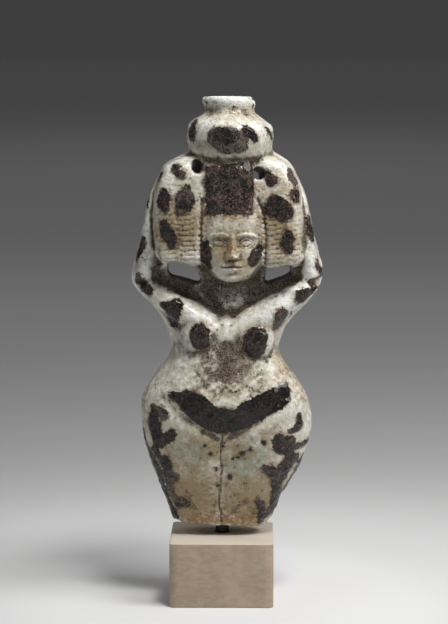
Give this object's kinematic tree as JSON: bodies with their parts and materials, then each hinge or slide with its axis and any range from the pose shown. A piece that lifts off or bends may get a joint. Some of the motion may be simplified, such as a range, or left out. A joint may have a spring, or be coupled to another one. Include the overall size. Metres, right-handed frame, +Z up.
{
  "type": "female statuette",
  "caption": "Faience statuette of a woman carrying a jar on her head, arms raised beside her hair, broken off at the knees, on a rod and block.",
  "frame": {"origin": "centre of the block's underside", "axes": "+Z up, the figure faces -Y, +X to the viewer's right"},
  "size_m": [0.0527, 0.0304, 0.1392],
  "materials": {
    "glaze": "satin",
    "black_rod": "satin",
    "block_paint": "matte"
  },
  "bodies": {
    "root": {"figurine": "glaze", "mount_rod": "black_rod", "mount_block": "block_paint"}
  },
  "joints": []
}
